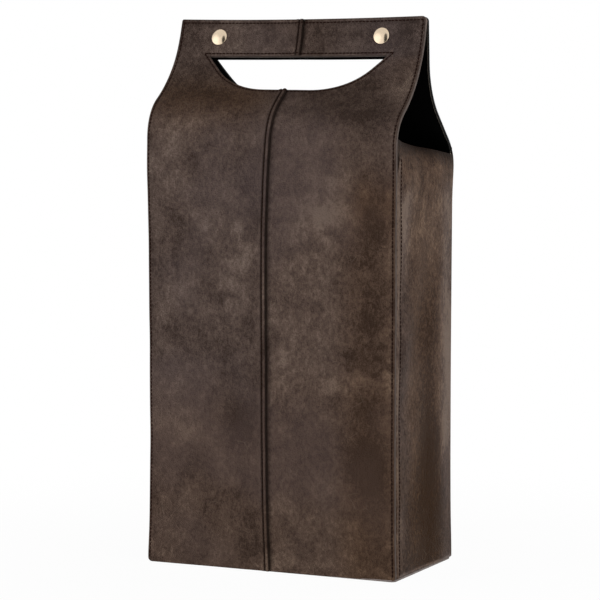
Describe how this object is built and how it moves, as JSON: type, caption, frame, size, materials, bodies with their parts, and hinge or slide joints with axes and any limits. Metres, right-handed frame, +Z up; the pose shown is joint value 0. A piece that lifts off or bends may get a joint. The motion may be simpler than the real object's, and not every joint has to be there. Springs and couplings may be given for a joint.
{
  "type": "wine bottle bag",
  "caption": "Upright brown leather-look wine bottle bag with two compartments, a lapped front seam and two leaning flaps that close into a cut-out handle with press studs.",
  "frame": {"origin": "centre of the footprint, on the surface that the bag stands on", "axes": "+Z up; the front panel with the centre seam faces -Y; +X to the right seen from the front"},
  "size_m": [0.19, 0.1042, 0.3857],
  "materials": {
    "leather": "distressed dark brown, fine grain, satin",
    "board": "stiffener board, matt, hidden between leather and lining",
    "lining": "black woven lining, matt",
    "gold": "polished pale gold"
  },
  "bodies": {
    "bag": {"front_panel_left": "leather", "front_panel_right": "leather", "side_and_back_panel": "leather", "corner_strip_left": "leather", "corner_strip_right": "leather", "base_panel": "leather", "front_board": "board", "back_board": "board", "side_board_left": "board", "side_board_right": "board", "base_board": "board", "divider_board": "board", "front_lining": "lining", "side_and_back_lining": "lining", "base_lining": "lining", "divider_cover_left": "lining", "divider_cover_right": "lining"},
    "front_flap": {"front_flap_left": "leather", "front_flap_right": "leather", "front_flap_board": "board", "front_flap_lining": "lining", "front_cap_left": "gold", "front_cap_right": "gold", "front_socket_left": "gold", "front_socket_right": "gold"},
    "back_flap": {"back_flap_leather": "leather", "back_flap_board": "board", "back_flap_lining": "lining", "back_cap_left": "gold", "back_cap_right": "gold", "back_stud_left": "gold", "back_stud_right": "gold"}
  },
  "joints": [
    {"name": "front_flap_fold", "type": "hinge", "parent": "bag", "child": "front_flap", "pos_m": [0, -0.053, 0.298], "axis": [1, 0, 0], "range_deg": [0, 70]},
    {"name": "back_flap_fold", "type": "hinge", "parent": "bag", "child": "back_flap", "pos_m": [0, 0.0518, 0.2885], "axis": [-1, 0, 0], "range_deg": [0, 70]}
  ]
}
